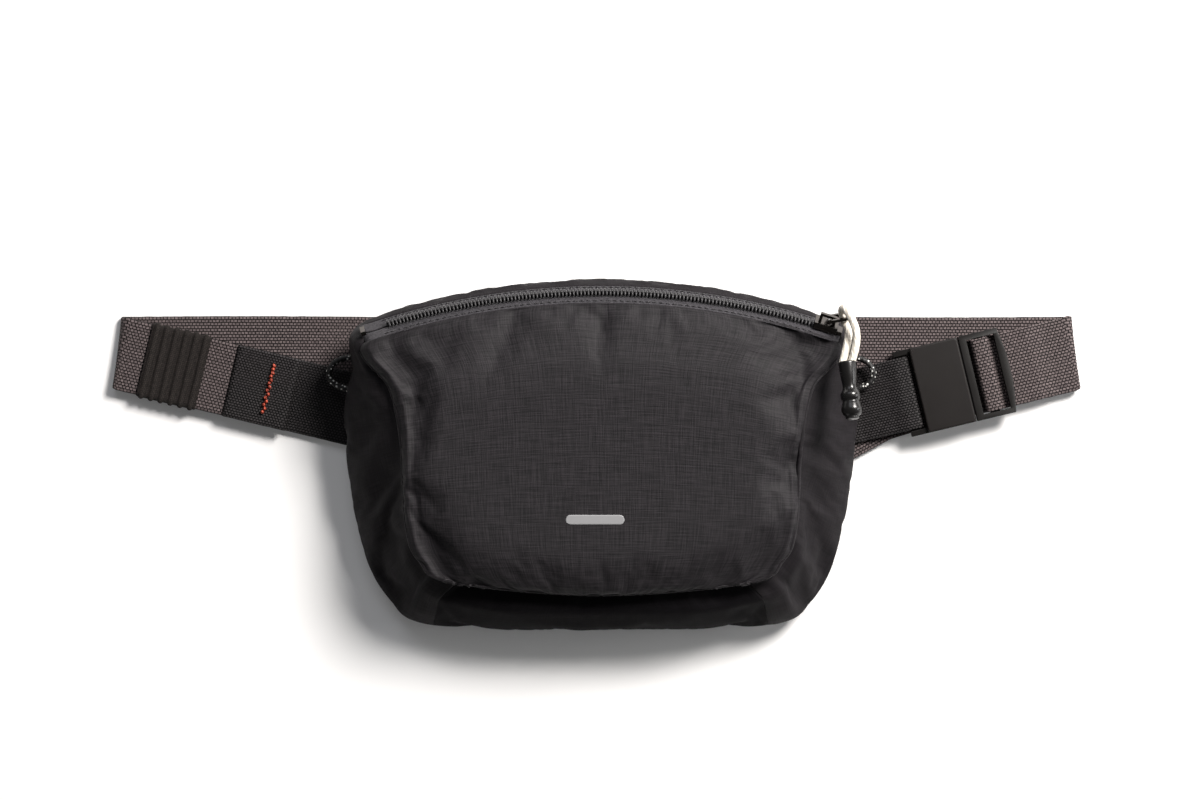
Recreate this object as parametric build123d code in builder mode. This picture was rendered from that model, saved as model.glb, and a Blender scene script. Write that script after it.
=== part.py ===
from build123d import *
import math
import os

# A zipped waist bag on its own belt, lying on its back. X runs along the belt, Y from the
# bag's base to its zip, and Z out of the front of the bag. The origin is on the surface
# that the bag lies on. Lengths are in millimetres and angles in degrees.

os.makedirs("parts", exist_ok=True)

# Belt
belt_beyond_bag = 93.5  # from the bag's widest line to each fold
belt_y = 42.3  # centre line of the rear run
strap_angle = 13.5  # slope of the two front runs
webbing_width = 30.0
webbing_thickness = 1.4
strand_gap = 2.0  # between the rear run and the front runs, at the folds
layer_gap = 0.3  # between webbing layers that slide on each other
wing_overlap = 26.0  # the length of the sewn joint on the left
fold_to_joint = 49.0  # from the left fold to the sewn joint
right_stub = 21.0  # what the right fold holds of the front run
left_stub = 6.0

# Bag
bag_x = 2.0
bag_half_width = 106.0
bag_top = 72.0
bag_bottom = -72.0
bag_depth = 48.0
side_mid_y = 8.0
fabric = 1.5
mesh_thickness = 3.2
foam_thickness = 4.0
lining_thickness = 0.7
pocket_thickness = 0.8
pocket_width = 120.0
pocket_height = 72.0
sewn_gap = 0.2  # between panels that a seam joins
top_corner_radius = 10.0
bottom_corner_radius = 26.0

# Zip
zip_radius = 300.0
zip_lean = 26.6  # the tape leans back from upright
zip_below_front = 15.0
tape_half_width = 8.0
tape_thickness = 0.9
coil_width = 2.0
coil_height = 1.75
coil_gap = 1.4  # room for the slider's post
chain_half_angle = 16.3  # the stretch that opens
zip_half_angle = 19.1
park_angle = 17.75
slider_length = 9.6
slider_half_width = 3.9
slider_clearance = 0.3
plate_thickness = 1.1
lip_gap = 0.6

# Zip pull
puller_wire = 1.2
puller_half_width = 3.4
puller_length = 10.0
puller_tilt = 30.0
cord_diameter = 3.2
end_neck_radius = 3.3
end_bulb_radius = 4.1
end_length = 24.0

# Side loops
loop_diameter = 2.4
loop_height = 10.0

# Keeper
keeper_length = 25.0
keeper_wall = 1.2
keeper_clearance = 0.35
keeper_from_fold = 12.0

# Buckle
buckle_from_fold = 59.5  # from the right fold to the buckle's middle
buckle_side_room = 0.8
rail_width = 2.2
female_base = 1.4
female_tail = 6.6  # the base and the cover, behind the buckle's middle
female_nose = 14.0  # in front of it
female_bar_from = 12.6
female_bar_to = 9.0
rail_overhang = 0.8
tongue_thickness = 3.4
buckle_clearance = 0.4
cover_thickness = 1.8
magnet_radius = 4.0
magnet_along = 4.0
magnet_fit = 0.1
female_magnet_depth = 0.9
male_magnet_depth = 2.0
tongue_reach = 3.0
tongue_side_room = 0.6
root_length = 3.0
window_length = 3.2
middle_bar_width = 3.8
outer_window_length = 4.6
wrap_gap = 0.15  # between a bar and the webbing round it
tail_length = 30.0
outer_bar_width = 3.6

# Front mark and stitching
dash_length = 24.0
dash_width = 4.0
dash_thickness = 0.4
tack_width = 2.2
tack_height = 0.5

# Worked out from the sizes above
belt_span = 2 * (bag_half_width + belt_beyond_bag)
half_belt = belt_span / 2
buckle_x = half_belt - buckle_from_fold
buckle_half_width = webbing_width / 2 + buckle_side_room + rail_width
slope = math.radians(strap_angle)
strand_low = webbing_thickness + strand_gap
strand_high = strand_low + webbing_thickness
zip_x = bag_x
zip_y = bag_top - 6.0 - zip_radius
zip_z = bag_depth - zip_below_front
lean = math.radians(zip_lean)
zip_axis = Axis((zip_x, zip_y, 0), (0, 0, 1))
zip_rise = tape_half_width * math.cos(lean)
zip_run = tape_half_width * math.sin(lean)
back_depth = zip_z - zip_rise - mesh_thickness

# Each level: height, distance of its top edge from the zip's arc, and its width and base
# as shares of the widest.
levels = [
    (mesh_thickness, 0.0, 0.925, 0.91),
    (mesh_thickness + 0.4 * back_depth, 4.5, 0.985, 0.975),
    (mesh_thickness + 0.75 * back_depth, 6.0, 1.0, 1.0),
    (zip_z - zip_rise, zip_run, 0.985, 0.99),
    (zip_z, 0.0, 0.94, 0.955),
    (zip_z + zip_rise, -zip_run, 0.86, 0.89),
    (bag_depth - 3.5, -9.5, 0.77, 0.81),
    (bag_depth, -30.0, 0.58, 0.58),
]


def outline(level, inset):
    """The bag's outline at one level, as a sketch."""
    height, from_arc, width_share, base_share = level
    radius = zip_radius + from_arc - inset
    half = bag_half_width * width_share - inset
    base = bag_bottom * base_share + inset
    corner = 0.955 * half
    corner_y = zip_y + math.sqrt(radius**2 - corner**2)
    share = half / bag_half_width
    with BuildSketch(Plane.XY.offset(height)) as section:
        with BuildLine():
            ThreePointArc(
                (bag_x - corner, corner_y), (bag_x, zip_y + radius), (bag_x + corner, corner_y)
            )
            ThreePointArc(
                (bag_x + corner, corner_y), (bag_x + half, side_mid_y), (bag_x + 0.85 * half, base)
            )
            Line((bag_x + 0.85 * half, base), (bag_x - 0.85 * half, base))
            ThreePointArc(
                (bag_x - 0.85 * half, base), (bag_x - half, side_mid_y), (bag_x - corner, corner_y)
            )
        make_face()
        fillet(section.vertices().sort_by(Axis.Y)[:2], bottom_corner_radius * share)
        fillet(section.vertices().sort_by(Axis.Y)[-2:], top_corner_radius * share)
    return section.sketch


def body(inset):
    """The closed bag, as one solid, drawn in by the inset."""
    sections = []
    for level in levels:
        drop = inset if level[0] > zip_z + zip_rise else 0.0
        sections.append(outline((level[0] - drop, *level[1:]), inset))
    with BuildPart() as solid:
        loft(sections=[section.faces()[0] for section in sections], ruled=True)
    return solid.part


def radial_plane(angle):
    """The upright plane through the zip's axis, at an angle to the right of +Y."""
    turn = math.radians(angle)
    return Plane(
        origin=(zip_x, zip_y, 0),
        x_dir=(math.sin(turn), math.cos(turn), 0),
        z_dir=(math.cos(turn), -math.sin(turn), 0),
    )


def on_tape(across, out):
    """A point of the zip's section: across the tape towards the front, and out of it."""
    return (
        zip_radius - across * math.sin(lean) + out * math.cos(lean),
        zip_z + across * math.cos(lean) + out * math.sin(lean),
    )


def zip_bar(across, out, left, right, mode=Mode.ADD):
    """A bar of the zip with a rectangular section, from one angle to another."""
    corners = [
        on_tape(across[0], out[0]),
        on_tape(across[1], out[0]),
        on_tape(across[1], out[1]),
        on_tape(across[0], out[1]),
    ]
    with BuildSketch(radial_plane(right)) as section:
        Polygon(*corners, align=None)
    revolve(section.sketch, axis=zip_axis, revolution_arc=right - left, mode=mode)


def sector(angle, low, high, mode):
    """The wedge of space between two angles from the zip's axis, and two heights."""
    reach = 2 * zip_radius
    side = math.radians(angle)
    with BuildSketch(Plane.XY.offset(low)) as wedge:
        Polygon(
            (zip_x, zip_y),
            (zip_x + reach * math.sin(side), zip_y + reach * math.cos(side)),
            (zip_x - reach * math.sin(side), zip_y + reach * math.cos(side)),
            align=None,
        )
    extrude(wedge.sketch, amount=high - low, mode=mode)


def block(low, high, mode=Mode.ADD):
    """A box between two corners."""
    with BuildSketch(Plane.XY.offset(low[2])) as foot:
        with Locations(((low[0] + high[0]) / 2, (low[1] + high[1]) / 2)):
            Rectangle(high[0] - low[0], high[1] - low[1])
    extrude(foot.sketch, amount=high[2] - low[2], mode=mode)


def finish(builder, name):
    """Labels a finished piece and writes it."""
    builder.part.label = name
    export_step(builder.part, f"parts/{name}.step")
    print(f"{name}: {len(builder.part.solids())} solid(s), {builder.part.volume:.0f} mm3")


# Bag body ---------------------------------------------------------------------------------
outer = body(0.0)
inner = body(fabric)
with BuildPart() as shell_builder:
    add(outer)
    add(inner, mode=Mode.SUBTRACT)
shell = shell_builder.part
wide = 2 * belt_span
front_edge = zip_z + zip_rise
lip_y = zip_y + (zip_radius - zip_run) * math.cos(math.radians(zip_half_angle)) - 1.0
base_left = (bag_x - 0.88 * bag_half_width, 1.25 * bag_bottom)
base_right = (bag_x + 0.88 * bag_half_width, 1.25 * bag_bottom)


def base_wedge(gap, mode):
    """The space in front of the base, between its two corner seams."""
    with BuildSketch() as wedge:
        Polygon(
            (bag_x - 0.4 * bag_half_width + gap, 0.25 * bag_bottom),
            (bag_x + 0.4 * bag_half_width - gap, 0.25 * bag_bottom),
            (base_right[0] - gap, base_right[1]),
            (base_left[0] + gap, base_left[1]),
            align=None,
        )
    extrude(wedge.sketch, amount=2 * bag_depth, mode=mode)


with BuildPart() as front_panel:
    add(shell)
    block((-wide, -wide, front_edge), (wide, lip_y, 2 * bag_depth), Mode.INTERSECT)
finish(front_panel, "front_panel")

with BuildPart() as front_lip:
    add(shell)
    block((-wide, lip_y + lip_gap, front_edge), (wide, wide, 2 * bag_depth), Mode.INTERSECT)
    sector(chain_half_angle, 0, 2 * bag_depth, Mode.INTERSECT)
finish(front_lip, "front_lip")

for side, name in ((-1, "side_gusset_left"), (1, "side_gusset_right")):
    middle = bag_x + side * sewn_gap
    far = bag_x + side * wide
    with BuildPart() as side_gusset:
        add(shell)
        block((-wide, -wide, 0), (wide, wide, front_edge - sewn_gap), Mode.INTERSECT)
        block((min(middle, far), -wide, 0), (max(middle, far), wide, bag_depth), Mode.INTERSECT)
        sector(zip_half_angle, 0, bag_depth, Mode.SUBTRACT)
        base_wedge(0.0, Mode.SUBTRACT)
    finish(side_gusset, name)

with BuildPart() as base_gusset:
    add(shell)
    block((-wide, -wide, 0), (wide, 0, front_edge - sewn_gap), Mode.INTERSECT)
    base_wedge(sewn_gap, Mode.INTERSECT)
finish(base_gusset, "base_gusset")

with BuildPart() as top_strip:
    add(shell)
    sector(zip_half_angle - 0.1, 0, zip_z - zip_rise - sewn_gap, Mode.INTERSECT)
    block((-wide, 0, 0), (wide, wide, bag_depth), Mode.INTERSECT)
finish(top_strip, "top_strip")

# Back panel: spacer mesh outside, foam and lining inside --------------------------------
back_outline = outline(levels[0], 0.0)
inside_outline = outline(levels[0], fabric + sewn_gap)
with BuildPart() as back_mesh:
    extrude(back_outline, amount=-mesh_thickness)
    strap_room = webbing_width / 2 + 1.5
    block(
        (-wide, belt_y - strap_room, -1),
        (wide, belt_y + strap_room, webbing_thickness + 0.4),
        Mode.SUBTRACT,
    )
finish(back_mesh, "back_mesh")

with BuildPart() as back_foam:
    extrude(inside_outline, amount=foam_thickness)
finish(back_foam, "back_foam")

lining_low = mesh_thickness + foam_thickness
with BuildPart() as back_lining:
    with BuildSketch(Plane.XY.offset(lining_low)) as lining_section:
        add(inside_outline.moved(Location((0, 0, foam_thickness))))
    extrude(lining_section.sketch, amount=lining_thickness)
finish(back_lining, "back_lining")

with BuildPart() as inner_pocket:
    with BuildSketch(Plane.XY.offset(lining_low + lining_thickness)) as pocket_section:
        with Locations((bag_x, -12)):
            RectangleRounded(pocket_width, pocket_height, 8)
    extrude(pocket_section.sketch, amount=pocket_thickness)
finish(inner_pocket, "inner_pocket")

# Zip ---------------------------------------------------------------------------------------
tape_out = (-tape_thickness / 2, tape_thickness / 2)
coil_out = (tape_thickness / 2, tape_thickness / 2 + coil_height)
coil_edge = coil_gap / 2 + coil_width

with BuildPart() as zip_tape_rear:
    zip_bar((-tape_half_width, -coil_gap / 2), tape_out, -zip_half_angle, zip_half_angle)
finish(zip_tape_rear, "zip_tape_rear")

with BuildPart() as zip_tape_front:
    zip_bar((coil_gap / 2, tape_half_width - 0.1), tape_out, -chain_half_angle, chain_half_angle)
finish(zip_tape_front, "zip_tape_front")

with BuildPart() as zip_tape_ends:
    for left, right in (
        (-zip_half_angle, -chain_half_angle - 0.1),
        (chain_half_angle + 0.1, zip_half_angle),
    ):
        zip_bar((coil_gap / 2, tape_half_width - sewn_gap), tape_out, left, right)
finish(zip_tape_ends, "zip_tape_ends")

with BuildPart() as zip_coil_rear:
    zip_bar((-coil_edge, -coil_gap / 2), coil_out, -chain_half_angle, chain_half_angle)
finish(zip_coil_rear, "zip_coil_rear")

with BuildPart() as zip_coil_front:
    zip_bar((coil_gap / 2, coil_edge), coil_out, -chain_half_angle, chain_half_angle)
finish(zip_coil_front, "zip_coil_front")

slider_half_angle = math.degrees(slider_length / 2 / zip_radius)
stop_start = park_angle + slider_half_angle + 0.06
with BuildPart() as zip_stops:
    for left, right in ((-zip_half_angle, -stop_start), (stop_start, zip_half_angle)):
        zip_bar((-coil_edge, coil_edge), coil_out, left, right)
finish(zip_stops, "zip_stops")

# Slider: two plates, a thin post between the coils and flanges beside them
upper_low = tape_thickness / 2 + coil_height + slider_clearance
upper_high = upper_low + plate_thickness
lower_high = -tape_thickness / 2 - slider_clearance
flange_in = coil_edge + slider_clearance
slider_left = park_angle - slider_half_angle
slider_right = park_angle + slider_half_angle
with BuildPart() as zip_slider:
    edges = (-slider_half_width, slider_half_width)
    zip_bar(edges, (upper_low, upper_high), slider_left, slider_right)
    zip_bar(edges, (lower_high - plate_thickness, lower_high), slider_left, slider_right)
    post = coil_gap / 2 - slider_clearance
    zip_bar((-post, post), (lower_high, upper_low), slider_left, park_angle - 0.2)
    flange_low = tape_thickness / 2 + slider_clearance
    for near, end in ((flange_in, slider_half_width), (-slider_half_width, -flange_in)):
        zip_bar((near, end), (flange_low, upper_low), slider_left, slider_right)
    bridge_high = upper_high + 3.2
    bridge_left = park_angle - 0.65
    bridge_right = park_angle + 0.65
    zip_bar((-0.9, 0.9), (upper_high, bridge_high), bridge_left, bridge_right)
    zip_bar((-1.5, 1.5), (upper_high, bridge_high - 1.1), bridge_left + 0.22,
            bridge_right - 0.22, Mode.SUBTRACT)
finish(zip_slider, "zip_slider")

# The pull's own frame: along the zip to the right, away from the zip's axis, and up
park = math.radians(park_angle)
along = Vector(math.cos(park), -math.sin(park), 0)
away = Vector(math.sin(park), math.cos(park), 0)
slider_centre = Vector(zip_x, zip_y, zip_z) + away * zip_radius


def at_slider(forward, outward, up):
    """A point given from the parked slider's centre."""
    return slider_centre + along * forward + away * outward + Vector(0, 0, up)


tape_up = away * -math.sin(lean) + Vector(0, 0, math.cos(lean))
tape_out_dir = away * math.cos(lean) + Vector(0, 0, math.sin(lean))
pivot_out = upper_high + 1.05
pivot = slider_centre + tape_out_dir * pivot_out
tilt = math.radians(puller_tilt)
puller_dir = along * math.cos(tilt) + tape_out_dir * math.sin(tilt)
puller_plane = Plane(origin=pivot, x_dir=puller_dir, z_dir=puller_dir.cross(tape_up))

# Wire puller: a pin through the slider's bridge and a U that the cord hangs in
with BuildPart() as zip_puller:
    with BuildSketch(puller_plane) as ring_section:
        with Locations(((puller_length - puller_wire) / 2, 0)):
            RectangleRounded(puller_length, 2 * puller_half_width, 1.4)
            RectangleRounded(
                puller_length - 2 * puller_wire,
                2 * puller_half_width - 2 * puller_wire,
                0.6,
                mode=Mode.SUBTRACT,
            )
    extrude(ring_section.sketch, amount=puller_wire / 2, both=True)
finish(zip_puller, "zip_puller")
print("puller pivot", pivot, "axis", tape_up)

end_start = at_slider(12.2, -10.2, 16.6)
end_tip = at_slider(21.0, -31.4, 20.6)
end_dir = (end_tip - end_start).normalized()
cord_points = [
    at_slider(10.6, -12.2, 16.6),
    at_slider(10.4, -6.6, 14.6),
    at_slider(10.0, -1.0, 10.4),
    at_slider(9.4, 2.6, 5.8),
    at_slider(7.4, 4.4, 2.8),
    at_slider(5.5, 7.0, 3.5),
    at_slider(3.9, 9.8, 5.6),
    at_slider(4.7, 10.6, 9.8),
    at_slider(8.6, 7.4, 13.4),
    at_slider(12.6, 2.0, 15.8),
    at_slider(13.9, -5.0, 16.8),
    at_slider(13.9, -12.2, 17.0),
]


def bend_radii(points):
    """The largest radius that each corner's two runs leave room for."""
    radii = []
    for before, here, after in zip(points, points[1:], points[2:]):
        turn = math.radians((here - before).get_angle(after - here))
        shorter = min((here - before).length, (after - here).length)
        radii.append(0.45 * shorter / math.tan(turn / 2))
    return radii


def cord_tube(points, diameter, name):
    """A cord along straight runs joined by arcs, checked against its section and length."""
    radii = bend_radii(points)
    print(name, "radii", [round(radius, 1) for radius in radii])
    with BuildPart() as tube:
        with BuildLine() as route:
            FilletPolyline(*points, radius=radii)
        with BuildSketch(Plane(origin=route.line @ 0, z_dir=route.line % 0)):
            Circle(diameter / 2)
        sweep()
    length = route.wires()[0].length
    ideal = math.pi * diameter**2 / 4 * length
    print(name, "length", round(length, 1), "volume share",
          round(tube.part.volume / ideal, 3))
    return tube


pull_cord = cord_tube(cord_points, cord_diameter, "pull_cord")
finish(pull_cord, "pull_cord")

# Moulded end: a round neck that swells to a bulb
with BuildPart() as pull_end:
    with BuildSketch(Plane(origin=end_start, x_dir=end_dir, z_dir=end_dir.cross(along))):
        with BuildLine():
            Polyline((0, 0), (0, end_neck_radius - 0.5), (0.5, end_neck_radius))
            Spline(
                (0.5, end_neck_radius),
                (0.45 * end_length, end_neck_radius * 0.86),
                (0.74 * end_length, end_bulb_radius),
                (end_length - 0.8, end_bulb_radius * 0.62),
            )
            Polyline((end_length - 0.8, end_bulb_radius * 0.62), (end_length, 0), (0, 0))
        make_face()
    revolve(axis=Axis(end_start, end_dir), revolution_arc=360)
finish(pull_end, "pull_end")

# Cord loops at the top of the side seams ----------------------------------------------------
loop_reach = 13.0


def loop_points(side):
    """The route of one side loop, from the seam out and back to it."""
    edge = bag_x + side * 0.945 * bag_half_width
    out = edge + side * loop_reach
    return [
        Vector(edge - side * 3.5, 40.5, loop_height - 0.8),
        Vector(edge + side * 4.5, 40.9, loop_height + 0.2),
        Vector(out - side * 1.5, 38.2, loop_height + 0.9),
        Vector(out + side * 0.6, 31.5, loop_height + 0.7),
        Vector(out - side * 6.5, 26.8, loop_height + 0.1),
        Vector(edge - side * 3.5, 26.4, loop_height - 0.8),
    ]


for side, name in ((-1, "loop_left"), (1, "loop_right")):
    loop = cord_tube(loop_points(side), loop_diameter, name)
    with BuildPart() as side_loop:
        add(loop.part)
        add(outer, mode=Mode.SUBTRACT)
    finish(side_loop, name)

# Belt --------------------------------------------------------------------------------------
left_plane = Plane(
    origin=(-half_belt, belt_y, 0),
    x_dir=(math.cos(slope), -math.sin(slope), 0),
    z_dir=(0, 0, 1),
)
buckle_y = belt_y - (half_belt - buckle_x) * math.tan(slope)
buckle_plane = Plane(
    origin=(buckle_x, buckle_y, 0),
    x_dir=(math.cos(slope), math.sin(slope), 0),
    z_dir=(0, 0, 1),
)
half_web = webbing_width / 2


def plate(base, along_range, across_range, height_range, mode=Mode.ADD):
    """A plate with its sides along a strap's own directions."""
    with BuildSketch(base.offset(height_range[0])) as foot:
        with Locations(
            ((along_range[0] + along_range[1]) / 2, (across_range[0] + across_range[1]) / 2)
        ):
            Rectangle(along_range[1] - along_range[0], across_range[1] - across_range[0])
    extrude(foot.sketch, amount=height_range[1] - height_range[0], mode=mode)


def strap_profile(base, points, radii):
    """Webbing that follows a line of runs and folds in a strap's upright plane."""
    upright = Plane(origin=base.origin, x_dir=base.x_dir, z_dir=-base.y_dir)
    with BuildPart() as strap:
        with BuildSketch(upright) as section:
            with BuildLine() as route:
                FilletPolyline(*points, radius=radii)
            trace(route.line, webbing_thickness)
        extrude(section.sketch, amount=half_web, both=True)
    return strap.part


joint_end = fold_to_joint + wing_overlap
with BuildPart() as belt_webbing:
    loop_centre = Plane(origin=(0, belt_y, strand_high / 2), x_dir=(1, 0, 0), z_dir=(0, -1, 0))
    with BuildSketch(loop_centre) as belt_section:
        SlotOverall(belt_span, strand_high)
        SlotOverall(
            belt_span - 2 * webbing_thickness, strand_high - 2 * webbing_thickness,
            mode=Mode.SUBTRACT,
        )
        open_length = belt_span - left_stub - right_stub
        with Locations(((left_stub - right_stub) / 2, strand_high / 2)):
            Rectangle(open_length, strand_high, mode=Mode.SUBTRACT)
    extrude(belt_section.sketch, amount=half_web, both=True)
    plate(left_plane, (5, joint_end - 2), (-half_web, half_web), (strand_low, strand_high))
finish(belt_webbing, "belt_webbing")

wing_length = (half_belt + bag_x - 0.9 * bag_half_width) / math.cos(slope)
wing_low = webbing_thickness + layer_gap
with BuildPart() as wing_left:
    plate(
        left_plane,
        (fold_to_joint - 3, wing_length),
        (-half_web, half_web),
        (wing_low, wing_low + webbing_thickness),
    )
    add(outer, mode=Mode.SUBTRACT)
    add(back_mesh.part, mode=Mode.SUBTRACT)
finish(wing_left, "wing_left")

cap_low = strand_high + 0.1
with BuildPart() as wing_left_cap:
    plate(
        left_plane,
        (fold_to_joint, joint_end),
        (-half_web, half_web),
        (cap_low, cap_low + webbing_thickness),
    )
finish(wing_left_cap, "wing_left_cap")

cap_high = cap_low + webbing_thickness
with BuildPart() as bartack_left:
    plate(
        left_plane,
        (joint_end - 12, joint_end - 12 + tack_width),
        (2 - half_web, half_web - 2),
        (cap_high, cap_high + tack_height),
    )
finish(bartack_left, "bartack_left")

# Elastic keeper round the left front run
with BuildPart() as keeper:
    keeper_end = keeper_from_fold + keeper_length
    room = half_web + keeper_clearance
    low = strand_low - keeper_clearance
    high = strand_high + keeper_clearance
    plate(
        left_plane,
        (keeper_from_fold, keeper_end),
        (-room - keeper_wall, room + keeper_wall),
        (low - keeper_wall, high + keeper_wall),
    )
    fillet(keeper.edges().filter_by(Axis((0, 0, 0), left_plane.x_dir)), 0.5)
    plate(left_plane, (keeper_from_fold - 1, keeper_end + 1), (-room, room), (low, high),
          Mode.SUBTRACT)
finish(keeper, "keeper")

# Buckle, female half: base, two rails and the webbing bar; the cover closes it ---------------
base_low = strand_low
base_high = base_low + female_base
tongue_low = base_high + buckle_clearance
tongue_high = tongue_low + tongue_thickness
rail_high = tongue_high + buckle_clearance
rail_in = buckle_half_width - rail_width
cover_start = -female_tail
female_start = -female_bar_from - rail_overhang
female_end = female_nose
bar_low = base_low + 2.2
bar_high = rail_high - 1.4
with BuildPart() as buckle_female:
    plate(buckle_plane, (cover_start, female_end), (-buckle_half_width, buckle_half_width),
          (base_low, base_high))
    for low, high in ((rail_in, buckle_half_width), (-buckle_half_width, -rail_in)):
        plate(buckle_plane, (female_start, female_end), (low, high), (base_low, rail_high))
    plate(buckle_plane, (-female_bar_from, -female_bar_to), (-rail_in, rail_in), (bar_low, bar_high))
    with BuildSketch(buckle_plane.offset(base_high)) as pocket:
        with Locations((magnet_along, 0)):
            Circle(magnet_radius + magnet_fit)
    extrude(pocket.sketch, amount=-female_magnet_depth, mode=Mode.SUBTRACT)
finish(buckle_female, "buckle_female")

with BuildPart() as magnet_female:
    with BuildSketch(buckle_plane.offset(base_high - female_magnet_depth)) as disc:
        with Locations((magnet_along, 0)):
            Circle(magnet_radius)
    extrude(disc.sketch, amount=female_magnet_depth)
finish(magnet_female, "magnet_female")

cover_high = rail_high + cover_thickness
with BuildPart() as buckle_cover:
    with BuildSketch(buckle_plane.offset(rail_high)) as cover_section:
        with Locations(((cover_start + female_end) / 2, 0)):
            RectangleRounded(female_end - cover_start, 2 * buckle_half_width, 1.6)
    extrude(cover_section.sketch, amount=cover_thickness)
    fillet(buckle_cover.faces().sort_by(Axis.Z)[-1].edges(), 0.7)
finish(buckle_cover, "buckle_cover")

# Buckle, male half: tongue, root bar, rails, middle bar and the curved outer bar -------------
male_start = female_end + 0.6
root_end = male_start + root_length
bar_start = root_end + window_length
bar_end = bar_start + middle_bar_width
outer_start = bar_end + outer_window_length
male_end = outer_start + outer_bar_width
middle_high = tongue_high + 0.2
outer_low = strand_high + layer_gap + webbing_thickness + layer_gap
with BuildPart() as buckle_male:
    plate(buckle_plane, (-tongue_reach, male_start + 0.5),
          (tongue_side_room - rail_in, rail_in - tongue_side_room),
          (tongue_low, tongue_high))
    plate(buckle_plane, (male_start, root_end), (-buckle_half_width, buckle_half_width),
          (base_low + 0.2, rail_high + 0.4))
    for low, high in ((rail_in, buckle_half_width), (-buckle_half_width, -rail_in)):
        plate(buckle_plane, (male_start, outer_start + 1), (low, high),
              (outer_low - 1.2, rail_high + 0.4))
    plate(buckle_plane, (bar_start, bar_end), (-rail_in - 0.5, rail_in + 0.5),
          (tongue_low, middle_high))
    with BuildSketch(buckle_plane.offset(outer_low)) as outer_bar:
        with BuildLine():
            Line((outer_start, -buckle_half_width), (outer_start, buckle_half_width))
            Line((outer_start, buckle_half_width), (male_end - 2, buckle_half_width))
            ThreePointArc((male_end - 2, buckle_half_width), (male_end, 0),
                          (male_end - 2, -buckle_half_width))
            Line((male_end - 2, -buckle_half_width), (outer_start, -buckle_half_width))
        make_face()
    extrude(outer_bar.sketch, amount=rail_high + 0.4 - outer_low)
    with BuildSketch(buckle_plane.offset(tongue_low)) as pocket:
        with Locations((magnet_along, 0)):
            Circle(magnet_radius + magnet_fit)
    extrude(pocket.sketch, amount=male_magnet_depth, mode=Mode.SUBTRACT)
finish(buckle_male, "buckle_male")

with BuildPart() as magnet_male:
    with BuildSketch(buckle_plane.offset(tongue_low)) as disc:
        with Locations((magnet_along, 0)):
            Circle(magnet_radius)
    extrude(disc.sketch, amount=male_magnet_depth)
finish(magnet_male, "magnet_male")

# The adjusting end of the belt: under the outer bar, over the middle bar and back as a tail
half_thick = webbing_thickness / 2
strand_mid = strand_high + layer_gap + half_thick
tail_mid = wing_low + half_thick
over_mid = middle_high + wrap_gap + half_thick
near_side = bar_end + wrap_gap + half_thick
far_side = bar_start - wrap_gap - half_thick
adjust_points = [
    (male_end + 9.5, strand_mid),
    (near_side, strand_mid),
    (near_side, over_mid),
    (far_side, over_mid),
    (far_side, tail_mid),
    (-tail_length, tail_mid),
]
with BuildPart() as belt_adjust_end:
    add(strap_profile(buckle_plane, adjust_points, 0.9))
finish(belt_adjust_end, "belt_adjust_end")

# Right wing: from the bag, round the female half's bar and back under itself
bar_top_mid = bar_high + wrap_gap + half_thick
bar_low_mid = bar_low - wrap_gap - half_thick
wing_turn = wrap_gap + half_thick - female_bar_to
wing_points = [
    (-(buckle_x - bag_x - 0.88 * bag_half_width) / math.cos(slope), strand_low + 0.9),
    (-32.0, strand_low + 1.0),
    (-19.0, bar_low_mid + 2.1),
    (-13.5, bar_top_mid),
    (wing_turn, bar_top_mid),
    (wing_turn, bar_low_mid),
    (-19.0, bar_low_mid),
]
with BuildPart() as wing_right:
    add(strap_profile(buckle_plane, wing_points, 0.9))
    add(outer, mode=Mode.SUBTRACT)
    add(back_mesh.part, mode=Mode.SUBTRACT)
finish(wing_right, "wing_right")

# Front mark: a plain reflective dash --------------------------------------------------------
with BuildPart() as front_dash:
    with BuildSketch(Plane.XY.offset(bag_depth)) as dash_section:
        with Locations((bag_x - 2.5, 0.36 * bag_bottom)):
            SlotOverall(dash_length, dash_width)
    extrude(dash_section.sketch, amount=dash_thickness)
finish(front_dash, "front_dash")
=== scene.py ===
import math

import bmesh
import bpy
import numpy as np
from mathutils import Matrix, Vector
from mathutils.bvhtree import BVHTree
from mathutils.noise import noise


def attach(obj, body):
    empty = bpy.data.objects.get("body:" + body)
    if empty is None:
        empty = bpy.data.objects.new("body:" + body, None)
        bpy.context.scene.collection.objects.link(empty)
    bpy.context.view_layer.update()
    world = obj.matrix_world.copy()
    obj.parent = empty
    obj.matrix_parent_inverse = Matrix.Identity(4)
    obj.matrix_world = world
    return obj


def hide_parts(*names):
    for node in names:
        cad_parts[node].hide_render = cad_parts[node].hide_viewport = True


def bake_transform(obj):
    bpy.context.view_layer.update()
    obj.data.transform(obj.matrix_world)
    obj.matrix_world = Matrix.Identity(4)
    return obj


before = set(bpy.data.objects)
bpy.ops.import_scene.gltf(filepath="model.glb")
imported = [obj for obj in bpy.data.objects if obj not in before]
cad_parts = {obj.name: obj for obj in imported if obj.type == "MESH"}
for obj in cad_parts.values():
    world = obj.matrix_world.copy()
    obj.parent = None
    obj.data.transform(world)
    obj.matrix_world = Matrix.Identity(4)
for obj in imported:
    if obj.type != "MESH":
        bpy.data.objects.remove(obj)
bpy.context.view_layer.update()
mm = 0.001
scene = bpy.context.scene


# Small helpers
def toLinear(code):
    channels = [int(code[i:i + 2], 16) / 255 for i in (1, 3, 5)]
    return tuple(c / 12.92 if c <= 0.04045 else ((c + 0.055) / 1.055) ** 2.4 for c in channels) + (1,)


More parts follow.
